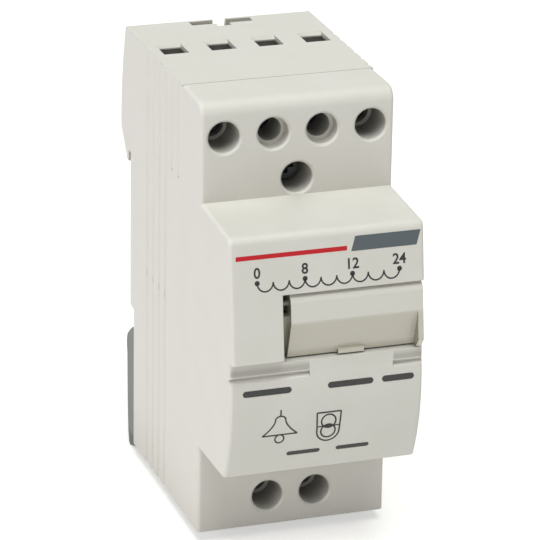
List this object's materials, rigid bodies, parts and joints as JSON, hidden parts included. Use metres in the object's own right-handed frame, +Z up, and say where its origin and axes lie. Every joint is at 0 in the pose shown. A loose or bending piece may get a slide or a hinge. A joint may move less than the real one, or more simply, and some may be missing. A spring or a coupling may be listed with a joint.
{
  "type": "din rail transformer",
  "caption": "Bell transformer for a 35 mm mounting rail, with a sprung rail clip, screw terminals above and below, and a hinged clear label cover.",
  "frame": {"origin": "middle of the rail seat: on the seat's plane, at the rail's centre line and the middle of the module's width", "axes": "+Y points into the rail and the switchboard, -Y out of its front, +Z up, +X across the module to the right seen from the front"},
  "size_m": [0.0358, 0.069, 0.0842],
  "materials": {
    "housing": "fine moulded texture",
    "clip": "moulded, dark grey",
    "clear": "clear, polished",
    "card": "plain card",
    "steel": "zinc plated",
    "spring": "drawn wire",
    "bar": "tinned brass strip",
    "core": "stacked sheets",
    "bobbin": "moulded nylon",
    "copper": "enamelled copper wire",
    "tape": "polyester tape",
    "cutout": "moulded",
    "lead": "wire insulation"
  },
  "bodies": {
    "housing": {"rear_casing": "housing", "front_cover": "housing", "label_card": "card", "clip_spring": "spring", "casing_screw": "steel", "core_e_stack": "core", "core_i_stack": "core", "bobbin": "bobbin", "primary_winding": "copper", "secondary_winding": "copper", "primary_tape": "tape", "secondary_tape": "tape", "thermal_cutout": "cutout", "primary_leads": "lead", "secondary_leads": "lead", "terminal_bar_1": "bar", "terminal_bar_2": "bar", "terminal_bar_3": "bar", "terminal_bar_4": "bar", "terminal_bar_5": "bar", "terminal_bar_6": "bar"},
    "rail_clip": {"rail_clip": "clip"},
    "label_cover": {"label_cover": "clear"},
    "terminal_screw_1": {"terminal_screw_1": "steel"},
    "terminal_cage_1": {"terminal_cage_1": "steel"},
    "terminal_screw_2": {"terminal_screw_2": "steel"},
    "terminal_cage_2": {"terminal_cage_2": "steel"},
    "terminal_screw_3": {"terminal_screw_3": "steel"},
    "terminal_cage_3": {"terminal_cage_3": "steel"},
    "terminal_screw_4": {"terminal_screw_4": "steel"},
    "terminal_cage_4": {"terminal_cage_4": "steel"},
    "terminal_screw_5": {"terminal_screw_5": "steel"},
    "terminal_cage_5": {"terminal_cage_5": "steel"},
    "terminal_screw_6": {"terminal_screw_6": "steel"},
    "terminal_cage_6": {"terminal_cage_6": "steel"}
  },
  "joints": [
    {"name": "clip_slide", "type": "slide", "parent": "housing", "child": "rail_clip", "axis": [0, 0, -1], "range_m": [0, 0.003], "stiffness_N_per_m": 400, "springref_m": -0.003, "deforming": ["clip_spring"]},
    {"name": "cover_hinge", "type": "hinge", "parent": "housing", "child": "label_cover", "pos_m": [0, -0.05959, 0.0091], "axis": [-1, 0, 0], "range_deg": [0, 80]},
    {"name": "screw_turn_1", "type": "hinge", "parent": "housing", "child": "terminal_screw_1", "pos_m": [-0.01359, -0.0316, 0.0346], "axis": [0, 1, 0], "range_deg": [0, 2160]},
    {"name": "cage_lift_1", "type": "slide", "parent": "housing", "child": "terminal_cage_1", "axis": [0, -1, 0], "range_m": [0, 0.003]},
    {"name": "screw_turn_2", "type": "hinge", "parent": "housing", "child": "terminal_screw_2", "pos_m": [-0.00453, -0.0316, 0.0346], "axis": [0, 1, 0], "range_deg": [0, 2160]},
    {"name": "cage_lift_2", "type": "slide", "parent": "housing", "child": "terminal_cage_2", "axis": [0, -1, 0], "range_m": [0, 0.003]},
    {"name": "screw_turn_3", "type": "hinge", "parent": "housing", "child": "terminal_screw_3", "pos_m": [0.00453, -0.0316, 0.0346], "axis": [0, 1, 0], "range_deg": [0, 2160]},
    {"name": "cage_lift_3", "type": "slide", "parent": "housing", "child": "terminal_cage_3", "axis": [0, -1, 0], "range_m": [0, 0.003]},
    {"name": "screw_turn_4", "type": "hinge", "parent": "housing", "child": "terminal_screw_4", "pos_m": [0.01359, -0.0316, 0.0346], "axis": [0, 1, 0], "range_deg": [0, 2160]},
    {"name": "cage_lift_4", "type": "slide", "parent": "housing", "child": "terminal_cage_4", "axis": [0, -1, 0], "range_m": [0, 0.003]},
    {"name": "screw_turn_5", "type": "hinge", "parent": "housing", "child": "terminal_screw_5", "pos_m": [-0.00453, -0.0316, -0.0353], "axis": [0, 1, 0], "range_deg": [0, 2160]},
    {"name": "cage_lift_5", "type": "slide", "parent": "housing", "child": "terminal_cage_5", "axis": [0, -1, 0], "range_m": [0, 0.003]},
    {"name": "screw_turn_6", "type": "hinge", "parent": "housing", "child": "terminal_screw_6", "pos_m": [0.00453, -0.0316, -0.0353], "axis": [0, 1, 0], "range_deg": [0, 2160]},
    {"name": "cage_lift_6", "type": "slide", "parent": "housing", "child": "terminal_cage_6", "axis": [0, -1, 0], "range_m": [0, 0.003]}
  ],
  "couplings": [
    {"joint": "screw_turn_1", "follows": "cage_lift_1", "rad_per_m": 12566},
    {"joint": "screw_turn_2", "follows": "cage_lift_2", "rad_per_m": 12566},
    {"joint": "screw_turn_3", "follows": "cage_lift_3", "rad_per_m": 12566},
    {"joint": "screw_turn_4", "follows": "cage_lift_4", "rad_per_m": 12566},
    {"joint": "screw_turn_5", "follows": "cage_lift_5", "rad_per_m": 12566},
    {"joint": "screw_turn_6", "follows": "cage_lift_6", "rad_per_m": 12566}
  ]
}
